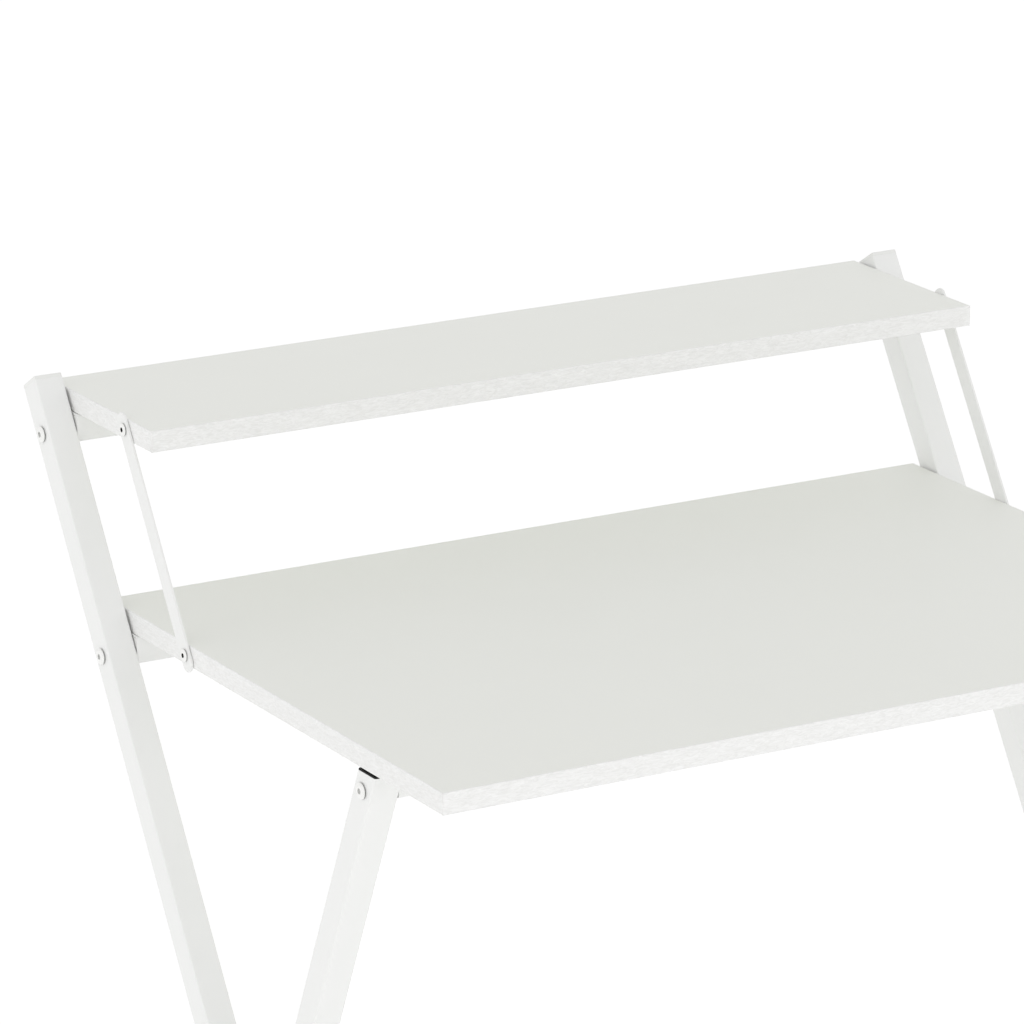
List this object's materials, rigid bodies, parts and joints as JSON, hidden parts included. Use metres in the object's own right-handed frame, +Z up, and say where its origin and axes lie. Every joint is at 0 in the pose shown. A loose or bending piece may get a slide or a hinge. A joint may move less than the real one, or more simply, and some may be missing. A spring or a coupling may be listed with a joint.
{
  "type": "folding desk",
  "caption": "Folding desk with a desktop and a raised shelf that turn on leaning posts, tied by link bars, and a crossed leg frame that closes between the posts.",
  "frame": {"origin": "on the floor, under the middle of the desk's overall box", "axes": "+Z up, +Y to the back of the desk, +X to the right of someone facing it"},
  "size_m": [0.8074, 0.6224, 0.9055],
  "materials": {
    "white_powder_coated_steel": "white powder coat, fine texture, satin",
    "white_laminated_board": "white melamine laminate with fine grain, matt",
    "white_plastic": "moulded, satin",
    "grey_plastic": "moulded, matt",
    "black_plastic": "moulded, matt",
    "white_painted_fastener": "painted, satin"
  },
  "bodies": {
    "post_frame": {"post_left": "white_powder_coated_steel", "post_right": "white_powder_coated_steel", "post_cap_left": "white_plastic", "post_cap_right": "white_plastic", "post_foot_left": "grey_plastic", "post_foot_right": "grey_plastic", "front_floor_bar": "white_powder_coated_steel", "desktop_pivot_bolt_left": "white_painted_fastener", "desktop_pivot_bolt_right": "white_painted_fastener", "shelf_pivot_bolt_left": "white_painted_fastener", "shelf_pivot_bolt_right": "white_painted_fastener", "cross_pivot_bolt_left": "white_painted_fastener", "cross_pivot_bolt_right": "white_painted_fastener"},
    "desktop": {"desktop_board": "white_laminated_board", "desktop_crossbar": "white_powder_coated_steel", "desktop_crossbar_plug_left": "white_plastic", "desktop_crossbar_plug_right": "white_plastic", "desktop_link_screw_left": "white_painted_fastener", "desktop_link_screw_right": "white_painted_fastener", "desktop_crossbar_screw_1": "white_painted_fastener", "desktop_crossbar_screw_2": "white_painted_fastener", "desktop_crossbar_screw_3": "white_painted_fastener", "front_catch_left": "black_plastic", "front_catch_right": "black_plastic", "front_catch_screw_left_inner": "white_painted_fastener", "front_catch_screw_left_outer": "white_painted_fastener", "front_catch_screw_right_inner": "white_painted_fastener", "front_catch_screw_right_outer": "white_painted_fastener"},
    "shelf": {"shelf_board": "white_laminated_board", "shelf_crossbar": "white_powder_coated_steel", "shelf_crossbar_plug_left": "white_plastic", "shelf_crossbar_plug_right": "white_plastic", "shelf_link_screw_left": "white_painted_fastener", "shelf_link_screw_right": "white_painted_fastener", "shelf_crossbar_screw_1": "white_painted_fastener", "shelf_crossbar_screw_2": "white_painted_fastener", "shelf_crossbar_screw_3": "white_painted_fastener"},
    "link_left": {"link_left": "white_powder_coated_steel"},
    "link_right": {"link_right": "white_powder_coated_steel"},
    "leg_frame": {"leg_left": "white_powder_coated_steel", "leg_right": "white_powder_coated_steel", "leg_top_plug_left": "black_plastic", "leg_top_plug_right": "black_plastic", "leg_foot_left": "grey_plastic", "leg_foot_right": "grey_plastic", "leg_top_bar": "white_powder_coated_steel", "rear_floor_bar": "white_powder_coated_steel", "leg_top_bar_plug_left": "white_plastic", "leg_top_bar_plug_right": "white_plastic", "leg_bar_bolt_left": "white_painted_fastener", "leg_bar_bolt_right": "white_painted_fastener", "cross_pivot_nut_left": "white_painted_fastener", "cross_pivot_nut_right": "white_painted_fastener", "cross_pivot_spacer_left": "black_plastic", "cross_pivot_spacer_right": "black_plastic"}
  },
  "joints": [
    {"name": "desktop_fold", "type": "hinge", "parent": "post_frame", "child": "desktop", "pos_m": [0, 0.17677, 0.708], "axis": [-1, 0, 0], "range_deg": [0, 95]},
    {"name": "shelf_fold", "type": "hinge", "parent": "post_frame", "child": "shelf", "pos_m": [0, 0.27393, 0.862], "axis": [-1, 0, 0], "range_deg": [0, 95]},
    {"name": "link_left_turn", "type": "hinge", "parent": "desktop", "child": "link_left", "pos_m": [-0.375, 0.08277, 0.7315], "axis": [-1, 0, 0], "range_deg": [-95, 0]},
    {"name": "link_right_turn", "type": "hinge", "parent": "desktop", "child": "link_right", "pos_m": [0.375, 0.08277, 0.7315], "axis": [-1, 0, 0], "range_deg": [-95, 0]},
    {"name": "leg_fold", "type": "hinge", "parent": "post_frame", "child": "leg_frame", "pos_m": [0, -0.04044, 0.36375], "axis": [-1, 0, 0], "range_deg": [0, 55.95]}
  ],
  "couplings": [
    {"joint": "shelf_fold", "follows": "desktop_fold", "ratio": 1},
    {"joint": "link_left_turn", "follows": "desktop_fold", "ratio": -1},
    {"joint": "link_right_turn", "follows": "desktop_fold", "ratio": -1},
    {"joint": "leg_fold", "follows": "desktop_fold", "ratio": 0.58895}
  ]
}
